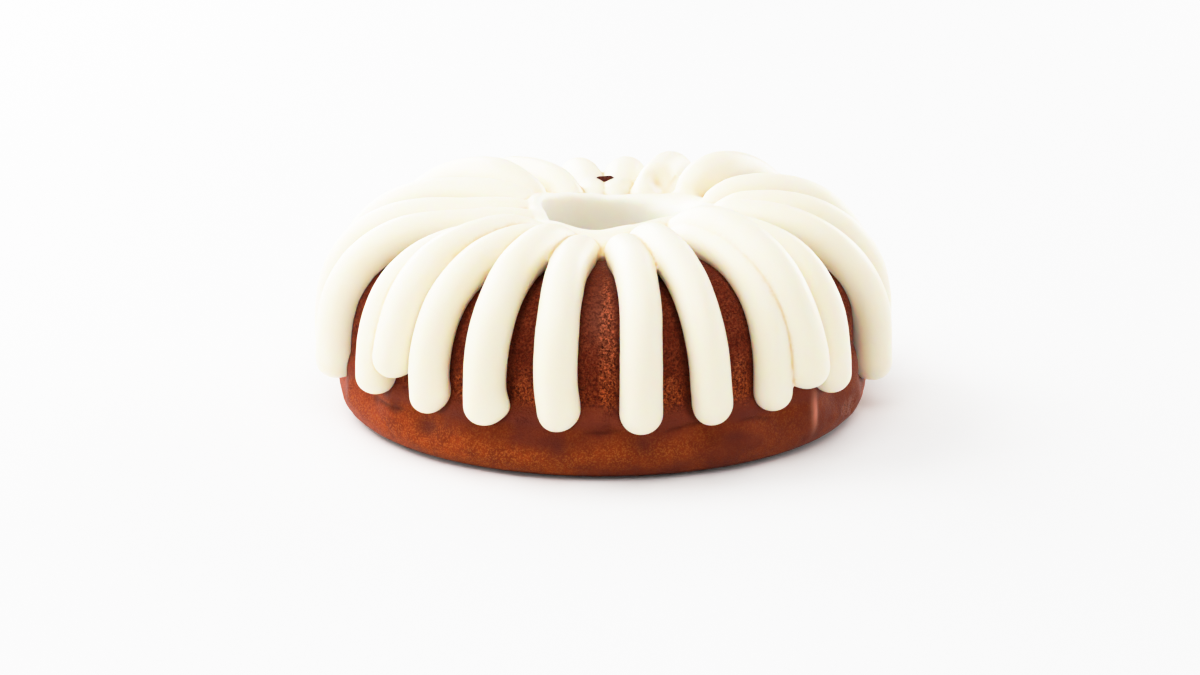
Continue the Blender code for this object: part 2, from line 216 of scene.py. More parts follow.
# Relief in metres: layers of soft noise as height, size of their features and seed
LUMPS = [(0.00045, 0.019, 11), (0.00018, 0.006, 12), (0.00008, 0.0026, 13)]
TORN_RELIEF = [(0.0007, 0.0055, 22), (0.0003, 0.0028, 23)]
PITTED_RELIEF = [(0.00028, 0.0027, 26), (0.00018, 0.0055, 27)]
CREASE_WANDER = [(0.0018, 0.022, 31), (0.0007, 0.006, 32)]
ICING_RELIEF = [(0.00022, 0.013, 41), (0.00006, 0.004, 42)]

# Ragged edges of the marks: layers whose heights are shares of a mark
TORN_EDGE = [(0.35, 0.004, 21)]
DARK_EDGE = [(0.5, 0.007, 24)]
ROUGH_EDGE = [(0.16, 0.005, 25)]

# Rise and depth of the marks, and the roll above the band: height, half width and rise
SEAM_RISE = 0.0007
CREASE_DEPTH = 0.0007
DARK_SPOT_DEPTH = 0.0004
TORN_DEPTH = 0.0009
ROLL = (0.0290, 0.0042, 0.0009)

# Steps of the crumb's mesh: round the cake, along its outside, along its hidden sides
CRUMB_TURNS = 648
CRUMB_STEP = 0.00105
HIDDEN_STEP = 0.0065

# Sizes of the noises in the crumb's colour
DRIFT_SIZE = 0.010
PATCH_SIZE = 0.0036
FINE_SIZE = 0.0009
SPECK_SIZE = 0.0007

# Heights between which the crumb's colour changes, and how far drift moves the wall's start
WALL_STARTS = (0.0295, 0.0345)
WALL_DRIFT = 0.005
ROLL_STARTS = (0.0225, 0.0265)
ROLL_ENDS = (0.0300, 0.0370)
COARSE_ENDS = (0.034, 0.058)
RAW_STARTS = (0.034, 0.062)
SHADE_STARTS = (0.0080, 0.0230)
# FOOT_ENDS: heights of the painted contact shade at the bottom of the band
FOOT_ENDS = (0.0, 0.0035)

# Distances over which painted shade darkens the crumb beside a finger, outside the hole's shoulder
EDGE_REACH = (-0.0008, 0.0014)
INNER_MARGIN = 0.001
FAR_AWAY = 1.0

# Softening of the fused icing in passes: all over, near the hole, and where folds run together
SOFTEN_ALL = 2
SOFTEN_HUB = 6
SOFTEN_BLENDS = 40

# Marks on the icing, which place painted light inside the hole and painted shade in creases,
# folds and near the crumb: distances from the hole's middle, heights above the crumb, and
# passes and depth of a narrow crease and of a wide fold
HUB_REACH = (0.034, 0.050)
WELL_REACH = (0.034, 0.041)
FOOT_REACH = (0.0005, 0.0060)
CREASE_SIZE = (12, 0.0003)
FOLD_SIZE = (30, 0.0010)

# Share of each colour that the icing keeps in its deeper patches
ICING_TINT = (1.0, 0.99, 0.965)

# Camera of the photograph
CAMERA_PLACE = (-0.0012, -1.3831, 0.4364)
CAMERA_TILT = 73.63
CAMERA_LENS = 92.36

# Light panels that face the cake: bearing, height above the floor in degrees, width, height,
# power in watts
PANEL_DISTANCE = 1.8
PANELS = [
    ("back left", -145.0, 20.0, 1.4, 1.0, 23.0),
    ("left", -95.0, 45.0, 1.4, 1.2, 25.0),
    ("low left", -100.0, 12.0, 1.0, 0.7, 6.0),
    ("left front", -62.0, 14.0, 1.0, 0.6, 5.0),
    ("front", 0.0, 56.0, 1.6, 1.0, 16.0),
    ("low front", -5.0, 14.0, 1.8, 0.6, 2.0),
    ("right", 76.0, 14.0, 1.0, 0.6, 5.4),
    ("back right", 130.0, 16.0, 1.6, 0.9, 24.0),
    ("top", 0.0, 90.0, 1.4, 1.4, 10.0),
]

# Where the panels aim, the floor's half width, and the camera's sensor and farthest sight
PANEL_AIM = (0.0, 0.0, 0.05)
FLOOR_HALF = 6.0
CAMERA_SENSOR = 36.0
CAMERA_SIGHT = 50.0

# Tone of the picture: brightness in the scene against brightness shown
TONE = [(0.0, 0.0), (0.1, 0.12), (0.22, 0.26), (0.4, 0.53), (0.65, 0.75), (1.0, 0.90),
        (1.5, 0.97), (2.2, 0.992), (3.5, 1.0)]
COMBINED_CURVE = 3

# Places of a Mix node's colour sockets
MIX_SHARE, MIX_ONE, MIX_TWO, MIX_RESULT = 0, 6, 7, 2


class CakeLook(bpy.types.PropertyGroup):
    """Sizes and colours of the crumb."""

    flutes: IntProperty(
        name="Flutes", description="Ridges round the cake", default=18, min=6, max=48)
    flute_half_depth: FloatProperty(
        name="Flute half depth", description="Half the height from valley to ridge",
        default=0.0021, min=0.0, max=0.006, subtype="DISTANCE", unit="LENGTH")
    # Colour inside the open pores, also used as painted shade at the foot, in the crease and
    # beside the icing
    pore_and_shade: FloatVectorProperty(
        name="Pit", description="Colour inside the open pores",
        default=(0.022, 0.0035, 0.0016), size=3, min=0.0, max=1.0, subtype="COLOR")
    crumb: FloatVectorProperty(
        name="Crumb", description="Common colour of the fluted wall",
        default=(0.128, 0.0150, 0.0050), size=3, min=0.0, max=1.0, subtype="COLOR")
    grain: FloatVectorProperty(
        name="Grain", description="Colour of the pale grains on the fluted wall",
        default=(0.540, 0.100, 0.024), size=3, min=0.0, max=1.0, subtype="COLOR")
    band: FloatVectorProperty(
        name="Base band", description="Colour of the smooth band at the foot",
        default=(0.285, 0.042, 0.0052), size=3, min=0.0, max=1.0, subtype="COLOR")
    band_shade: FloatVectorProperty(
        name="Base band shade", description="Colour of the darker patches on the band",
        default=(0.160, 0.019, 0.0040), size=3, min=0.0, max=1.0, subtype="COLOR")
    # Colour of the dark spots just under the fingers' tips and of the darker patches of the crumb
    dark_spot: FloatVectorProperty(
        name="Stain", description="Colour of the dark spots under the flutes",
        default=(0.095, 0.017, 0.0110), size=3, min=0.0, max=1.0, subtype="COLOR")
    roll: FloatVectorProperty(
        name="Roll", description="Colour of the smooth roll between wall and band",
        default=(0.170, 0.030, 0.0160), size=3, min=0.0, max=1.0, subtype="COLOR")
    # Pale pink-brown of torn crumb, also used as painted highlight on the sheen, the ridge, the
    # torn patch and the grains high on the wall
    raw_and_highlight: FloatVectorProperty(
        name="Raw", description="Pale pink-brown of torn and stretched crumb",
        default=(0.640, 0.240, 0.150), size=3, min=0.0, max=1.0, subtype="COLOR")
    speck: FloatVectorProperty(
        name="Speck", description="Colour of the golden specks on the band",
        default=(0.560, 0.170, 0.034), size=3, min=0.0, max=1.0, subtype="COLOR")


class IcingLook(bpy.types.PropertyGroup):
    """Sizes and colour of the icing."""

    finger_width: FloatProperty(
        name="Finger width", description="Common width of a piped finger",
        default=0.0184, min=0.008, max=0.03, subtype="DISTANCE", unit="LENGTH")
    finger_lift: FloatProperty(
        name="Finger lift", description="Height of a finger's middle line above the crumb",
        default=0.0073, min=0.0, max=0.02, subtype="DISTANCE", unit="LENGTH")
    mesh_step: FloatProperty(
        name="Mesh step", description="Edge length at which the icing is fused",
        default=0.0008, min=0.0006, max=0.004, subtype="DISTANCE", unit="LENGTH")
    triangles: IntProperty(
        name="Triangles", description="Most triangles in the finished icing",
        default=190000, min=20000, max=199000)
    colour: FloatVectorProperty(
        name="Icing", description="Colour of the icing",
        default=(0.955, 0.828, 0.645), size=3, min=0.0, max=1.0, subtype="COLOR")
    # Painted shade: warm darker colour mixed into the icing deep between fingers, in wide folds
    # and near the crumb
    crease: FloatVectorProperty(
        name="Crease", description="Colour of the icing deep between two fingers",
        default=(0.80, 0.52, 0.25), size=3, min=0.0, max=1.0, subtype="COLOR")
    # Painted light: a brighter colour for the icing inside the hole, where little light reaches
    painted_well_light: FloatVectorProperty(
        name="Well", description="Colour of the icing inside the hole",
        default=(1.000, 0.905, 0.780), size=3, min=0.0, max=1.0, subtype="COLOR")


class StageLook(bpy.types.PropertyGroup):
    """Light and floor of the studio."""

    sky_strength: FloatProperty(
        name="Sky", description="Strength of the even white light from all round",
        default=0.0, min=0.0, max=5.0)
    panel_strength: FloatProperty(
        name="Panels", description="Strength of all light panels together",
        default=1.0, min=0.0, max=10.0)
    floor_colour: FloatVectorProperty(
        name="Floor", description="Colour of the plain floor",
        default=(0.90, 0.90, 0.90), size=3, min=0.0, max=1.0, subtype="COLOR")


class Wire:
    """A value that varies over a surface. Sums and products with a number add Math nodes."""

    def __init__(self, tree, socket):
        self.tree = tree
        self.socket = socket

    def maths(self, operation, *values):
        return add_node(self.tree, "Math", {"operation": operation}, dict(enumerate(values)))

    def __add__(self, other):
        return self.maths("ADD", self, other)

    def __sub__(self, other):
        return self.maths("SUBTRACT", self, other)

    def __rsub__(self, other):
        return self.maths("SUBTRACT", other, self)

    def __mul__(self, other):
        return self.maths("MULTIPLY", self, other)

    __radd__ = __add__
    __rmul__ = __mul__

    def between(self, low, high):
        """0 where this is low or less, 1 where it is high or more, smooth in between."""
        settings = {"interpolation_type": "SMOOTHSTEP"}
        inputs = {"Value": self, "From Min": low, "From Max": high}
        return add_node(self.tree, "MapRange", settings, inputs, "Result")


def feed(tree, socket, value):
    """Links a wire to a socket, or sets the socket's own value."""
    if isinstance(value, Wire):
        tree.links.new(value.socket, socket)
    elif socket.type == "RGBA" and len(value) == 3:
        socket.default_value = (*value, 1.0)
    else:
        socket.default_value = value


def add_node(tree, kind, settings, inputs, output=0):
    """One node: its settings first, then the values or wires of its inputs."""
    made = tree.nodes.new("ShaderNode" + kind)
    for setting, value in settings.items():
        setattr(made, setting, value)
    for socket, value in inputs.items():
        feed(tree, made.inputs[socket], value)
    return Wire(tree, made.outputs[output])


class Finish:
    """A Principled material and the nodes that vary it over a surface."""

    def __init__(self, name, **constants):
        self.material = bpy.data.materials.new(name)
        self.material.use_nodes = True
        self.tree = self.material.node_tree
        self.shader = self.tree.nodes["Principled BSDF"]
        for socket, value in constants.items():
            feed(self.tree, self.shader.inputs[socket.replace("_", " ")], value)

    def place(self):
        """The place on the piece in metres."""
        return add_node(self.tree, "TexCoord", {}, {}, "Object")

    def height(self):
        """The height above the underside in metres."""
        return add_node(self.tree, "SeparateXYZ", {}, {"Vector": self.place()}, "Z")

    def noise(self, size, seed, detail=2.0, roughness=0.5):
        """Soft noise whose features are about the given size in metres."""
        inputs = {"Vector": self.place(), "Scale": 1.0 / size, "Detail": detail,
                  "Roughness": roughness, "W": seed}
        return add_node(self.tree, "TexNoise", {"noise_dimensions": "4D"}, inputs)

    def mark(self, name):
        """A number stored at every point of the mesh."""
        return add_node(self.tree, "Attribute", {"attribute_name": name}, {}, "Fac")

    def mix(self, share, one, two):
        """A colour between two colours: one where the share is 0 and two where it is 1."""
        inputs = {MIX_SHARE: share, MIX_ONE: one, MIX_TWO: two}
        return add_node(self.tree, "Mix", {"data_type": "RGBA"}, inputs, MIX_RESULT)

    def set(self, socket, wire):
        feed(self.tree, self.shader.inputs[socket], wire)

    def bump(self, height, distance, strength):
        """Relief too fine for the mesh, its height in units of the distance in metres."""
        inputs = {"Height": height, "Distance": distance, "Strength": strength}
        self.set("Normal", add_node(self.tree, "Bump", {}, inputs, "Normal"))


def smooth_step(value, low, high):
    """0 below low, 1 above high, with an even rise between."""
    part = np.clip((value - low) / (high - low), 0.0, 1.0)
    return part * part * (3.0 - 2.0 * part)


def soft_noise(points, size, seed):
    """Noise from -1 to 1: random values on a lattice, blended by a smooth step on each axis."""
    cells = 48
    lattice = np.random.default_rng(seed).uniform(-1.0, 1.0, (cells, cells, cells))
    place = points / size
    cell = np.floor(place).astype(int)
    part = place - cell
    part = part * part * (3.0 - 2.0 * part)
    total = np.zeros(points.shape[:-1])
    for corner in np.ndindex(2, 2, 2):
        weight = np.prod(np.where(corner, part, 1.0 - part), axis=-1)
        index = (cell + corner) % cells
        total += weight * lattice[index[..., 0], index[..., 1], index[..., 2]]
    return total


def relief(points, layers):
    """Sum of soft noises, each given as its height, the size of its features and its seed."""
    return sum(height * soft_noise(points, size, seed) for height, size, seed in layers)


def wrapped(degrees):
    """An angle in degrees brought between -180 and 180."""
    return (degrees + 180.0) % 360.0 - 180.0


def around(bearing, radius, height):
    """Points at a bearing in radians, a radius and a height."""
    return np.stack([radius * np.sin(bearing), -radius * np.cos(bearing), height], -1)


def leaning(points):
    """Points with each height scaled by the cake's lean toward that side."""
    x, y, z = np.moveaxis(points, -1, 0)
    reach = np.maximum(np.hypot(x, y), SHOULDER_RADIUS)
    scale = 1.0 + (LEAN_RIGHT * x + LEAN_BACK * y) / reach
    return np.stack([x, y, z * scale], -1)


def arc(centre, radii, start, stop, steps, power=2.0):
    """Points (radius, height) on a superellipse between two angles measured from +radius."""
    angle = np.radians(np.linspace(start, stop, steps + 1))
    across = np.sign(np.cos(angle)) * np.abs(np.cos(angle)) ** (2.0 / power)
    up = np.sign(np.sin(angle)) * np.abs(np.sin(angle)) ** (2.0 / power)
    return np.stack([centre[0] + radii[0] * across, centre[1] + radii[1] * up], 1)


def dome(steps):
    """The cake's section from the top of its wall up to its crest."""
    radii = (WALL_RADIUS - CREST_RADIUS, CREST_HEIGHT - WALL_TOP)
    return arc((CREST_RADIUS, WALL_TOP), radii, 0.0, 90.0, steps, DOME_POWER)


def spaced(line, step):
    """The same line with points at even steps of its length."""
    length = np.r_[0.0, np.cumsum(np.linalg.norm(np.diff(line, axis=0), axis=1))]
    wanted = np.linspace(0.0, length[-1], max(2, round(length[-1] / step)) + 1)
    return np.stack([np.interp(wanted, length, line[:, axis]) for axis in (0, 1)], 1)


def cake_section(fine, coarse):
    """The cake's closed section, from the foot of the hole outward, over and back down."""
    inner = HOLE_FOOT_RADIUS + HOLE_FOOT_EDGE
    band = BAND_RADIUS - BAND_EDGE
    drop = CREST_HEIGHT - SHOULDER_HEIGHT
    underside = np.array([(inner, 0.0), (band, 0.0)])
    edge = arc((band, BAND_EDGE), (BAND_EDGE, BAND_EDGE), -90.0, 0.0, steps=24)
    outside = np.vstack([edge, dome(steps=160)])
    crest = (CREST_RADIUS - SHOULDER_RADIUS, drop)
    inside = np.vstack([
        arc((CREST_RADIUS, SHOULDER_HEIGHT), crest, 90.0, 180.0, steps=40),
        [(HOLE_FOOT_RADIUS, HOLE_FOOT_EDGE), (inner, 0.0)],
    ])
    return np.vstack([
        spaced(underside, coarse)[:-1],
        spaced(outside, fine)[:-1],
        spaced(inside, coarse)[:-1],
    ])


def outward_normals(section):
    """Unit normals of a closed section whose solid lies on the left of its direction."""
    along = np.roll(section, -1, 0) - np.roll(section, 1, 0)
    normal = np.stack([along[:, 1], -along[:, 0]], 1)
    return normal / np.linalg.norm(normal, axis=1)[:, None]


def flute_share(section):
    """How deep the flutes are along the section: full on the wall, none at foot and hole."""
    radius, height = section.T
    rising = smooth_step(height, FLUTE_FOOT, FLUTE_FULL)
    toward_crest = smooth_step(radius, CREST_RADIUS, WALL_RADIUS)
    outside = smooth_step(radius, SHOULDER_RADIUS, CREST_RADIUS)
    return rising * outside * (FLUTE_ON_CREST + (1.0 - FLUTE_ON_CREST) * toward_crest)


def flute_wave(bearing, flutes):
    """A softened triangle wave round the cake, -1 in the valleys and 1 on the ridges."""
    swing = -FLUTE_CRISPNESS * np.cos(flutes * bearing)
    return np.arcsin(swing) / asin(FLUTE_CRISPNESS)


def mesh_object(name, points, faces):
    """A smooth-shaded object at the origin from arrays of points and of faces."""
    mesh = bpy.data.meshes.new(name)
    mesh.from_pydata(points, [], faces)
    mesh.validate()
    mesh.update()
    mesh.shade_smooth()
    made = bpy.data.objects.new(name, mesh)
    bpy.context.scene.collection.objects.link(made)
    return made


def ring_quads(turns, stations):
    """Quads of a closed section carried all the way round, wound to face outward."""
    here = np.arange(turns)[:, None] * stations
    there = (np.arange(turns)[:, None] + 1) % turns * stations
    one = np.arange(stations)[None, :]
    two = (one + 1) % stations
    quads = np.stack([here + one, there + one, there + two, here + two], -1)
    return quads.reshape(-1, 4)


def tube_faces(rings, sides, first):
    """Faces of a tube of rings that ends in two poles, numbered from a first vertex."""
    one = np.arange(sides)
    two = (one + 1) % sides
    head = first + rings * sides
    tail = head + 1
    last = first + (rings - 1) * sides
    low = first + np.arange(rings - 1)[:, None] * sides
    quads = np.stack([low + one, low + two, low + sides + two, low + sides + one], -1)
    start = np.stack([np.full(sides, head), first + two, first + one], -1)
    end = np.stack([last + one, last + two, np.full(sides, tail)], -1)
    return quads.reshape(-1, 4).tolist() + start.tolist() + end.tolist()


def finger_run(hub_bearing, start, tip_height, lift):
    """The middle line of a finger as (radius, height), from the collar to its tip."""
    surface = dome(steps=240)[::-1]
    normal = np.gradient(surface, axis=0)[:, ::-1] * (-1.0, 1.0)
    normal = np.abs(normal) / np.linalg.norm(normal, axis=1)[:, None]
    over = surface + lift * normal
    start_radius = start + COLLAR_SHIFT * sin(radians(hub_bearing))
    start = np.array([start_radius, over[0, 1] - FINGER_START_DROP])
    part = np.arange(INNER_SPANS)[:, None] / INNER_SPANS
    rise = 1.0 - (1.0 - part) ** 2
    inner = start + (over[0] - start) * np.hstack([part, rise])
    tip_radius = np.interp(tip_height, over[::-1, 1], over[::-1, 0])
    over = over[over[:, 1] > tip_height + TIP_CLEARANCE]
    return np.vstack([inner, over, [(tip_radius, tip_height)]])


def finger_line(number, width, lift, spans=96, end_steps=10):
    """The middle line of a finger: station, radius, height, bearing, ring size and lift.

    The ring size is 1 for a full section. It follows the square root of a circle at both ends
    and swells a little toward the tip. The line wanders a little, as a hand-held bag does."""
    hub_bearing, tip_bearing, start, tip_height, hub_rise, *rest = FINGERS[number]
    crest_rise, thickness, bow, cover = rest
    run = finger_run(hub_bearing, start, tip_height, lift + cover)
    length = np.r_[0.0, np.cumsum(np.linalg.norm(np.diff(run, axis=0), axis=1))]
    whole = length[-1]
    rounding = thickness * width / 2.0
    turn = np.linspace(0.0, pi / 2.0, end_steps + 1)
    first = rounding * (1.0 - np.cos(turn))
    middle = np.linspace(rounding, whole - rounding, spans + 1)[1:-1]
    station = np.concatenate([first, middle, whole - first[::-1]])
    along = np.stack([station, 0.0 * station, 0.0 * station], -1)

    to_end = np.minimum(np.minimum(station, whole - station) / rounding, 1.0)
    ring = np.sqrt(1.0 - (1.0 - to_end) ** 2)
    widening = smooth_step(station, 0.0, FINGER_WIDENING)
    ring = thickness * ring * (FINGER_START_WIDTH + (1.0 - FINGER_START_WIDTH) * widening)
    ring = ring * (1.0 + TIP_SWELL * np.exp(-((whole - station) / TIP_SWELL_REACH) ** 2))
    uneven, wave = WIDTH_WAVE
    ring = ring * (1.0 + uneven * soft_noise(along, wave, number))

    raised = hub_rise + (crest_rise - hub_rise) * smooth_step(station, 0.0, RISE_FULL)
    past = np.maximum(station - length[INNER_SPANS] + RISE_BEFORE_CREST, 0.0)
    raised = raised * np.exp(-(past / RISE_REACH) ** 2)
    radius = np.interp(station, length, run[:, 0])
    height = np.interp(station, length, run[:, 1]) + raised
    share = smooth_step(station / whole, 0.0, 1.0)
    bearing = hub_bearing + (tip_bearing - hub_bearing) * share + bow * np.sin(pi * share)
    wander, wave = TURN_WAVE
    bearing = np.radians(bearing) + wander * soft_noise(along, wave, number + 100)
    return station, radius, height, bearing, ring, np.maximum(raised, 0.0) + cover


def finger(number, width, lift, sides=36):
    """Rings of a piped finger: a rounded section carried along the finger's middle line."""
    station, radius, height, bearing, ring, cover = finger_line(number, width, lift)
    ahead = np.gradient(np.stack([radius, height], 1), station, axis=0)
    ahead = ahead / np.linalg.norm(ahead, axis=1)[:, None]
    side = np.arange(sides) * 2.0 * pi / sides
    sideways = ring[:, None] * width / 2.0 * np.cos(side)
    for bulging, right, left, distance, reach in TIP_BULGES:
        if bulging == number:
            swelling = ring * np.exp(-((station[-1] - station - distance) / reach) ** 2)
            growth = right * np.maximum(np.cos(side), 0.0) + left * np.minimum(np.cos(side), 0.0)
            sideways = sideways + swelling[:, None] * growth
    sunk_half = width / 2.0 * FINGER_SUNK_SHARE + cover[:, None]
    half = np.where(np.sin(side) > 0.0, width / 2.0 * FINGER_TOP_SHARE, sunk_half)
    off = ring[:, None] * half * np.sin(side)
    section_radius = radius[:, None] - ahead[:, 1:] * off
    section_height = height[:, None] + ahead[:, :1] * off
    points = around(bearing[:, None] + 0.0 * off, section_radius, section_height)
    across = around(bearing + pi / 2.0, 1.0, 0.0 * bearing)
    points = points + sideways[..., None] * across[:, None, :]
    return leaning(points)


def beside_fingers(section, bearing, width, lift):
    """How far each point of the crumb lies outside the nearest finger's edge, in metres.

    Each finger is laid out flat along the section: its middle line and half width are read at
    the point's own place on the section, and its tip is a half circle."""
    length = np.r_[0.0, np.cumsum(np.linalg.norm(np.diff(section, axis=0), axis=1))]
    nearest = np.full(bearing.shape, FAR_AWAY)
    for number in range(len(FINGERS)):
        _, radius, height, middle, ring, _ = finger_line(number, width, lift)
        line = np.stack([radius, height], 1)
        apart = np.linalg.norm(section[None] - line[:, None], axis=2)
        apart[:, section[:, 0] < SHOULDER_RADIUS + INNER_MARGIN] = FAR_AWAY
        place = length[apart.argmin(1)][::-1]
        end = ring.max() * width / 2.0
        bend = place[0] + end
        centre = np.interp(length, place, np.unwrap(middle)[::-1])
        half = np.interp(length, place, ring[::-1] * width / 2.0)
        half = np.where(length < bend, end, half)
        sideways = np.radians(wrapped(np.degrees(bearing - centre))) * section[:, 0]
        beyond = np.maximum(bend - length, 0.0)
        nearest = np.minimum(nearest, np.hypot(sideways, beyond) - half)
    return nearest


def round_table(table, bearing):
    """Columns of a table read at bearings in degrees, eased between its rows all round."""
    rows = np.array(sorted(table))
    turn = np.eye(1, rows.shape[1]) * 360.0
    rows = np.vstack([rows[-1:] - turn, rows, rows[:1] + turn])
    bearing = wrapped(bearing)
    after = np.clip(np.searchsorted(rows[:, 0], bearing), 1, len(rows) - 1)
    low, high = rows[after - 1], rows[after]
    part = smooth_step(bearing, low[:, 0], high[:, 0])[:, None]
    return (low + (high - low) * part)[:, 1:]


def collar(turns=240):
    """Rings of the icing round the hole: throat, rounded rim and a foot in the cake.

    The rim, the throat and the outer edge are read from a table by bearing."""
    degrees = np.arange(turns) * 360.0 / turns
    read = round_table(COLLAR_SHAPE, degrees).T[:, :, None]
    rise, outer_radius, outer_height, rounding, wider = read
    even = np.ones((turns, 1))
    rim = arc((1.0, -1.0), (1.0, 1.0), 30.0, 180.0, steps=14)
    radius = np.hstack([
        (SHOULDER_RADIUS + COLLAR_SUNK) * even,
        outer_radius - COLLAR_SUNK,
        outer_radius,
        THROAT_RADIUS + wider + rounding * rim[:, 0],
        THROAT_RADIUS + wider,
        THROAT_RADIUS + wider + THROAT_BEVEL,
    ])
    height = np.hstack([
        THROAT_FOOT * even,
        COLLAR_SUNK_HEIGHT * even,
        outer_height,
        RIM_HEIGHT + rise + rounding * rim[:, 1],
        (THROAT_FOOT + THROAT_BEVEL) * even,
        THROAT_FOOT * even,
    ])
    points = around(np.radians(degrees)[:, None] + 0.0 * radius, radius, height)
    points[..., 2] -= COLLAR_DIP * points[..., 1]
    return leaning(points + (COLLAR_SHIFT, 0.0, 0.0))


def piped_mesh(width, lift):
    """All fingers and the collar as one mesh of closed, crossing shells."""
    ring = collar()
    points = [ring.reshape(-1, 3)]
    faces = ring_quads(*ring.shape[:2]).tolist()
    count = len(points[0])
    for number in range(len(FINGERS)):
        rings = finger(number, width, lift)
        inside = rings[1:-1]
        points.append(np.vstack([inside.reshape(-1, 3), rings[0, :1], rings[-1, :1]]))
        faces += tube_faces(len(inside), inside.shape[1], count)
        count += len(points[-1])
    return mesh_object("icing_dressed", np.vstack(points), faces)


def read_points(mesh):
    """The mesh's points as an array."""
    points = np.empty(len(mesh.vertices) * 3)
    mesh.vertices.foreach_get("co", points)
    return points.reshape(-1, 3)


def read_normals(mesh):
    """The direction in which the mesh faces at each of its points."""
    normals = np.empty(len(mesh.vertices) * 3)
    mesh.vertex_normals.foreach_get("vector", normals)
    return normals.reshape(-1, 3)


def write_points(mesh, points):
    """Moves the mesh's points to new places."""
    mesh.vertices.foreach_set("co", points.ravel())
    mesh.update()


def relax(mesh, share, passes):
    """Each pass moves every point a share of the way to the mean of its neighbours."""
    ends = np.empty(len(mesh.edges) * 2, dtype=np.int32)
    mesh.edges.foreach_get("vertices", ends)
    one, two = ends.reshape(-1, 2).T
    points = read_points(mesh)
    count = len(points)
    degree = np.bincount(ends, minlength=count)[:, None]
    for _ in range(passes):
        total = np.stack([
            np.bincount(one, points[two, axis], count) + np.bincount(two, points[one, axis], count)
            for axis in range(3)], 1)
        points += share * (total / degree - points)
    write_points(mesh, points)


def above_crumb(points):
    """About how far points lie outside the crumb's wall and dome, in metres."""
    x, y, z = np.moveaxis(points, -1, 0)
    radius = np.hypot(x, y)
    height = z / (1.0 + (LEAN_RIGHT * x + LEAN_BACK * y) / np.maximum(radius, SHOULDER_RADIUS))
    across = np.abs(radius - CREST_RADIUS) / (WALL_RADIUS - CREST_RADIUS)
    up = np.maximum(height - WALL_TOP, 0.0) / (CREST_HEIGHT - WALL_TOP)
    size = (across ** DOME_POWER + up ** DOME_POWER) ** (1.0 / DOME_POWER)
    return (size - 1.0) * (CREST_HEIGHT - WALL_TOP)


def hollows(mesh, passes, depth):
    """0 on open surfaces and 1 deep in creases: how far relaxing would push a point out."""
    points, normals = read_points(mesh), read_normals(mesh)
    relax(mesh, 0.5, passes)
    filled = np.sum((read_points(mesh) - points) * normals, axis=1)
    write_points(mesh, points)
    return smooth_step(filled, 0.1 * depth, depth)


def nearness(points, place, reach):
    """A column with 1 for a point at the place and less farther off, as a bell curve."""
    return np.exp(-(np.linalg.norm(points - place, axis=1) / reach) ** 2)[:, None]


def store_mark(mesh, name, values):
    """Stores a number at every point of the mesh under a name."""
    mesh.attributes.new(name, "FLOAT", "POINT").data.foreach_set("value", values.ravel())


def freeze(made):
    """Turns an object's live modifiers into its own mesh."""
    graph = bpy.context.evaluated_depsgraph_get()
    mesh = bpy.data.meshes.new_from_object(made.evaluated_get(graph))
    made.modifiers.clear()
    made.data = mesh
    mesh.shade_smooth()


def blob(bearing, height, mark):
    """1 in the middle of a mark on the wall and fading outward as a bell curve."""
    across = np.radians(wrapped(np.degrees(bearing) - mark[0])) * WALL_RADIUS / mark[2]
    up = (height - mark[1]) / mark[3]
    return np.exp(-across ** 2 - up ** 2)


def crease_share(bearing, height):
    """1 on the broken wavy crease above the base band and fading across its width."""
    degrees = wrapped(np.degrees(bearing))
    along = np.stack([np.cos(bearing), np.sin(bearing), 0.0 * bearing], -1) * WALL_RADIUS
    middle = CREASE_HEIGHT + relief(along, CREASE_WANDER)
    shown = sum(smooth_step(degrees, start, start + CREASE_FADE)
                * smooth_step(-degrees, -stop, CREASE_FADE - stop) for start, stop in CREASE_RUNS)
    return shown * np.exp(-((height - middle) / CREASE_WIDTH) ** 2)


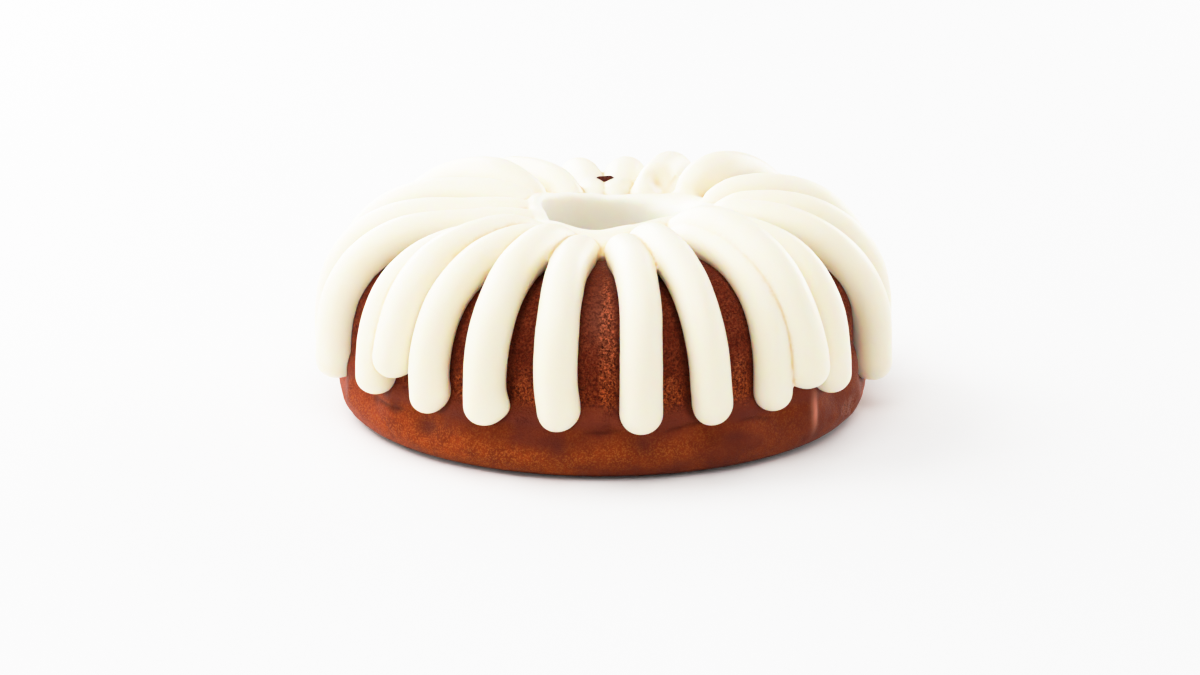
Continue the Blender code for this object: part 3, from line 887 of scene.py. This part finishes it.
def crumb_finish(look):
    """Dark brown crumb: bright grains and open pores on the wall, a smoother base band.

    The stored marks place the rough strips, the sheen (gloss with a painted highlight), the ridge
    with its painted highlight, the dark patches, the dark spots, the crease (a groove darkened
    by painted shade) and the torn patch, and paint shade on the crumb beside the icing."""
    finish = Finish("crumb", Metallic=0.0, Specular_IOR_Level=0.03)
    height = finish.height()
    drift = finish.noise(DRIFT_SIZE, 1.0).between(0.32, 0.68)
    patch = finish.noise(PATCH_SIZE, 2.0).between(0.36, 0.64)
    fine = finish.noise(FINE_SIZE, 3.0, detail=3.0, roughness=0.65)
    speck = finish.noise(SPECK_SIZE, 4.0, detail=1.0)
    rough, torn = finish.mark("rough"), finish.mark("torn")
    wall = (height + (drift - 0.5) * WALL_DRIFT).between(*WALL_STARTS)
    roll = height.between(*ROLL_STARTS) * (1 - height.between(*ROLL_ENDS))

    low = 1 - height.between(*COARSE_ENDS)
    grainy = rough * 0.62 + low * 0.16 + drift * 0.14 + 0.14
    grains = fine.between(0.44, 0.58)
    pits = finish.noise(FINE_SIZE, 5.0, roughness=0.75).between(0.51, 0.59)
    pits = pits * (0.52 + 0.28 * rough + 0.08 * low)
    # Grains high on the wall turn toward pale pink, partly as painted highlight
    grain = finish.mix(height.between(*RAW_STARTS) * 0.18, look.grain, look.raw_and_highlight)
    colour = finish.mix(grainy * grains + 0.20 * rough, look.crumb, grain)
    # Painted highlight: the sheen mark lightens the crumb toward pale pink, and also lowers its
    # roughness
    colour = finish.mix(finish.mark("sheen") * 0.16, colour, look.raw_and_highlight)
    colour = finish.mix(pits, colour, look.pore_and_shade)

    band = finish.mix(0.55 * drift + 0.35 * patch, look.band, look.band_shade)
    dots = speck.between(0.50, 0.60) * (0.38 - 0.24 * finish.mark("dark"))
    band = finish.mix(dots, band, look.speck)
    band = finish.mix(fine.between(0.55, 0.72) * 0.45, band, look.band_shade)
    band = finish.mix(height.between(*SHADE_STARTS) * 0.40, band, look.band_shade)
    # Painted contact shade: the band darkens over its lowest few millimetres
    band = finish.mix((1 - height.between(*FOOT_ENDS)) * 0.60, band, look.pore_and_shade)
    colour = finish.mix(wall, band, colour)
    colour = finish.mix(roll * 0.72, colour, look.roll)

    # Darker patches and dark spots of the crumb, most of them just under the fingers' tips
    colour = finish.mix(finish.mark("dark") * 0.62, colour, look.dark_spot)
    colour = finish.mix(finish.mark("dark_spot") * 0.75, colour, look.dark_spot)
    # Painted shade: the crease's groove is darkened toward the pore colour
    colour = finish.mix(finish.mark("crease") * 0.50, colour, look.pore_and_shade)
    # Painted highlight: the ridge is lightened toward pale pink; it is also raised and glossier
    colour = finish.mix(finish.mark("ridge_and_highlight") * 0.80, colour, look.raw_and_highlight)
    # Torn patch: pale pink grains, partly painted highlight, and dark pits
    colour = finish.mix(torn * grains * 0.50, colour, look.raw_and_highlight)
    colour = finish.mix(torn * fine.between(0.54, 0.60) * 0.8, colour, look.pore_and_shade)
    # Painted shade: the crumb darkens beside the icing's edge
    colour = finish.mix(finish.mark("edge") * 0.55, colour, look.pore_and_shade)
    finish.set("Base Color", colour)
    gloss = 0.10 * drift + 0.14 * finish.mark("sheen") + 0.10 * finish.mark("ridge_and_highlight")
    finish.set("Roughness", 0.48 + 0.10 * wall - gloss)
    deep = 0.22 + 0.55 * wall + 0.40 * rough
    finish.bump((fine * 0.9 + speck * 0.3 - pits * 0.7) * deep, distance=0.0012, strength=1.0)
    return finish.material


def icing_finish(look):
    """Cream cheese icing: pale, soft and a little translucent, with a satin sheen. Its colour
    holds painted shade in creases, folds and near the crumb, and painted light inside the hole.
    """
    finish = Finish("icing", Metallic=0.0, Roughness=0.38, Specular_IOR_Level=0.30,
                    Subsurface_Weight=1.0, Subsurface_Radius=(1.0, 0.62, 0.30),
                    Subsurface_Scale=0.0032)
    patches = finish.noise(0.030, 1.0).between(0.3, 0.7)
    tint = tuple(channel * share for channel, share in zip(look.colour, ICING_TINT))
    colour = finish.mix(patches, look.colour, tint)
    # Painted light: the icing inside the hole is brightened
    colour = finish.mix(finish.mark("painted_well_light") * 0.8, colour, look.painted_well_light)
    # Painted shade in the icing's creases, wide folds and along its foot near the crumb
    painted_shade = finish.mark("crease") * 0.70 + finish.mark("fold") * 0.10 + finish.mark("foot") * 0.22
    finish.set("Base Color", finish.mix(painted_shade, colour, look.crease))
    dimples = finish.noise(0.005, 2.0) + 0.3 * finish.noise(0.0014, 3.0)
    finish.bump(dimples, distance=0.0003, strength=0.25)
    return finish.material


def crest_swelling(bearing, radius, height):
    """Rise of the crumb's crest in metres where it swells between two fingers at the back."""
    line, rise, spread, reach = CREST_SWELLING
    along = np.exp(-(wrapped(np.degrees(bearing) - line) / spread) ** 4)
    across = np.exp(-((radius - CREST_RADIUS) / reach) ** 2)
    return rise * along * across * smooth_step(height, SHOULDER_HEIGHT, SWELLING_FULL)


def crumb_marks(bearing, height, place):
    """The marks on the crumb by name: 1 where a mark is full and 0 where there is none."""
    ragged = relief(place, ROUGH_EDGE)
    torn = blob(bearing, height, TORN_PATCH) + relief(place, TORN_EDGE)
    dark = sum(blob(bearing, height, mark) for mark in DARK_PATCHES)
    return {
        "dark_spot": sum(blob(bearing, height, mark) for mark in DARK_SPOTS),
        "crease": crease_share(bearing, height),
        "torn": smooth_step(torn, 0.35, 0.70),
        "dark": dark * (1.0 + relief(place, DARK_EDGE)),
        "rough": sum(mark[4] * smooth_step(blob(bearing, height, mark) + ragged, 0.30, 0.66)
                     for mark in ROUGH_STRIPS),
        "sheen": blob(bearing, height, SHEEN),
        "ridge_and_highlight": blob(bearing, height, RIDGE_AND_HIGHLIGHT),
    }


def marks_relief(marks, height, place):
    """How far the marks raise or sink the crumb, in metres."""
    middle, half_width, rise = ROLL
    raised = rise * np.exp(-((height - middle) / half_width) ** 2) + SEAM_RISE * marks["ridge_and_highlight"]
    sunk = CREASE_DEPTH * marks["crease"] + DARK_SPOT_DEPTH * marks["dark_spot"]
    torn = marks["torn"] * (relief(place, TORN_RELIEF) - TORN_DEPTH)
    return raised - sunk + torn + marks["rough"] * relief(place, PITTED_RELIEF)


class CAKE_OT_bake_crumb(bpy.types.Operator):
    """Models the fluted crumb of the cake"""

    bl_idname = "ring_cake.bake_crumb"
    bl_label = "Bake the Crumb"

    def execute(self, context):
        look, icing = context.scene.cake_look, context.scene.icing_look
        section = cake_section(CRUMB_STEP, HIDDEN_STEP)
        normal = outward_normals(section)
        radius, height = section.T
        bearing = np.arange(CRUMB_TURNS)[:, None] * 2.0 * pi / CRUMB_TURNS + 0.0 * radius
        height_all = height + 0.0 * bearing
        place = around(bearing, radius, height_all)
        marks = crumb_marks(bearing, height_all, place)

        outside = smooth_step(radius, CREST_RADIUS * 0.8, CREST_RADIUS)
        outside = outside * smooth_step(height, 0.001, FLUTE_FOOT)
        push = look.flute_half_depth * flute_wave(bearing, look.flutes) * flute_share(section)
        push = push + crest_swelling(bearing, radius, height)
        push = push + outside * (relief(place, LUMPS) + marks_relief(marks, height_all, place))
        points = leaning(around(
            bearing, radius + push * normal[:, 0], height + push * normal[:, 1]))

        made = mesh_object("cake_dressed", points.reshape(-1, 3), ring_quads(*points.shape[:2]))
        # Painted shade beside the fingers: the edge mark darkens the crumb near each finger
        beside = beside_fingers(section, bearing, icing.finger_width, icing.finger_lift)
        marks["edge"] = 1.0 - smooth_step(beside, *EDGE_REACH)
        for name, values in marks.items():
            store_mark(made.data, name, np.clip(values, 0.0, 1.0))
        made.data.materials.append(crumb_finish(look))
        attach(made, BODY)
        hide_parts("cake")
        return {"FINISHED"}


class CAKE_OT_pipe_icing(bpy.types.Operator):
    """Pipes the fingers and the collar of icing and fuses them softly"""

    bl_idname = "ring_cake.pipe_icing"
    bl_label = "Pipe the Icing"

    def execute(self, context):
        look = context.scene.icing_look
        made = piped_mesh(look.finger_width, look.finger_lift)
        fuse = made.modifiers.new("Fuse", "REMESH")
        fuse.mode = "VOXEL"
        fuse.voxel_size = look.mesh_step
        freeze(made)

        points, normals = read_points(made.data), read_normals(made.data)
        moved = points + relief(points, ICING_RELIEF)[:, None] * normals
        for place, reach, depth in HUB_DENTS:
            share = nearness(points, place, reach)
            outward = np.sum(share * normals, axis=0)
            moved -= depth * share * outward / np.linalg.norm(outward)
        write_points(made.data, moved)
        from_hub = np.linalg.norm(points[:, :2] - (COLLAR_SHIFT, 0.0), axis=1)
        near = 1.0 - smooth_step(from_hub, *HUB_REACH)
        relax(made.data, 0.5, SOFTEN_ALL)
        relax(made.data, 0.5 * near[:, None], SOFTEN_HUB)
        points = read_points(made.data)
        blend = [share * nearness(points, place, reach) for place, reach, share in HUB_BLENDS]
        relax(made.data, 0.5 * np.max(blend, axis=0), SOFTEN_BLENDS)

        # Masks for painted light inside the hole and painted shade in creases, folds and near the
        # crumb
        painted_well_light = 1.0 - smooth_step(from_hub, *WELL_REACH)
        foot = 1.0 - smooth_step(above_crumb(read_points(made.data)), *FOOT_REACH)
        store_mark(made.data, "crease", hollows(made.data, *CREASE_SIZE))
        store_mark(made.data, "painted_well_light", painted_well_light)
        store_mark(made.data, "fold", hollows(made.data, *FOLD_SIZE) * (1.0 - painted_well_light))
        store_mark(made.data, "foot", foot * (1.0 - painted_well_light))

        thin = made.modifiers.new("Thin", "DECIMATE")
        made.data.calc_loop_triangles()
        thin.ratio = min(1.0, look.triangles / len(made.data.loop_triangles))
        freeze(made)
        made.data.materials.clear()
        made.data.materials.append(icing_finish(look))
        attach(made, BODY)
        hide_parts("icing")
        return {"FINISHED"}


def light_panel(name, bearing, elevation, width, height, power):
    """A soft light panel that faces the middle of the cake."""
    bearing, elevation = radians(bearing), radians(elevation)
    toward = Vector((sin(bearing) * cos(elevation), -cos(bearing) * cos(elevation),
                     sin(elevation)))
    light = bpy.data.lights.new(name, "AREA")
    light.shape = "RECTANGLE"
    light.size = width
    light.size_y = height
    light.energy = power
    made = bpy.data.objects.new(name, light)
    made.location = Vector(PANEL_AIM) + PANEL_DISTANCE * toward
    made.rotation_euler = toward.to_track_quat("Z", "Y").to_euler()
    bpy.context.scene.collection.objects.link(made)


def set_tone(view, tone):
    """Shows the picture through a tone curve given as pairs of brightness."""
    view.view_transform = "Standard"
    view.use_curve_mapping = True
    mapping = view.curve_mapping
    mapping.clip_max_x = tone[-1][0]
    curve = mapping.curves[COMBINED_CURVE]
    curve.points[0].location = tone[0]
    curve.points[1].location = tone[-1]
    for pair in tone[1:-1]:
        curve.points.new(*pair)
    mapping.update()


class CAKE_OT_set_stage(bpy.types.Operator):
    """Sets the pale floor, the soft studio light and the camera"""

    bl_idname = "ring_cake.set_stage"
    bl_label = "Set the Stage"

    def execute(self, context):
        look = context.scene.stage_look
        corners = [(x * FLOOR_HALF, y * FLOOR_HALF, 0.0)
                   for x, y in ((-1, -1), (1, -1), (1, 1), (-1, 1))]
        floor = mesh_object("floor", corners, [(0, 1, 2, 3)])
        finish = Finish("floor", Base_Color=look.floor_colour, Roughness=0.9,
                        Specular_IOR_Level=0.1)
        floor.data.materials.append(finish.material)

        world = bpy.data.worlds.new("studio")
        world.use_nodes = True
        sky = world.node_tree.nodes["Background"]
        sky.inputs["Color"].default_value = (1.0, 1.0, 1.0, 1.0)
        sky.inputs["Strength"].default_value = look.sky_strength
        context.scene.world = world

        for *panel, power in PANELS:
            light_panel(*panel, power * look.panel_strength)

        camera = bpy.data.objects.new("camera", bpy.data.cameras.new("camera"))
        camera.data.sensor_width = CAMERA_SENSOR
        camera.data.lens = CAMERA_LENS
        camera.data.clip_end = CAMERA_SIGHT
        camera.location = CAMERA_PLACE
        camera.rotation_euler = (radians(CAMERA_TILT), 0.0, 0.0)
        context.scene.collection.objects.link(camera)
        context.scene.camera = camera
        set_tone(context.scene.view_settings, TONE)
        return {"FINISHED"}


class CAKE_PT_sidebar(bpy.types.Panel):
    """Lists the steps of the cake and their settings"""

    bl_label = "Ring Cake"
    bl_space_type = "VIEW_3D"
    bl_region_type = "UI"
    bl_category = "Ring Cake"

    def draw(self, context):
        for look, operator in (
            (context.scene.cake_look, CAKE_OT_bake_crumb),
            (context.scene.icing_look, CAKE_OT_pipe_icing),
            (context.scene.stage_look, CAKE_OT_set_stage),
        ):
            box = self.layout.box()
            for name in look.bl_rna.properties.keys():
                if name not in {"rna_type", "name"}:
                    box.prop(look, name)
            box.operator(operator.bl_idname)


CLASSES = (
    CakeLook, IcingLook, StageLook, CAKE_OT_bake_crumb, CAKE_OT_pipe_icing, CAKE_OT_set_stage,
    CAKE_PT_sidebar,
)


def register():
    for one in CLASSES:
        bpy.utils.register_class(one)
    bpy.types.Scene.cake_look = PointerProperty(type=CakeLook)
    bpy.types.Scene.icing_look = PointerProperty(type=IcingLook)
    bpy.types.Scene.stage_look = PointerProperty(type=StageLook)


def unregister():
    del bpy.types.Scene.stage_look
    del bpy.types.Scene.icing_look
    del bpy.types.Scene.cake_look
    for one in reversed(CLASSES):
        bpy.utils.unregister_class(one)


def main():
    register()
    bpy.ops.ring_cake.bake_crumb()
    bpy.ops.ring_cake.pipe_icing()
    bpy.ops.ring_cake.set_stage()


if __name__ == "__main__":
    main()
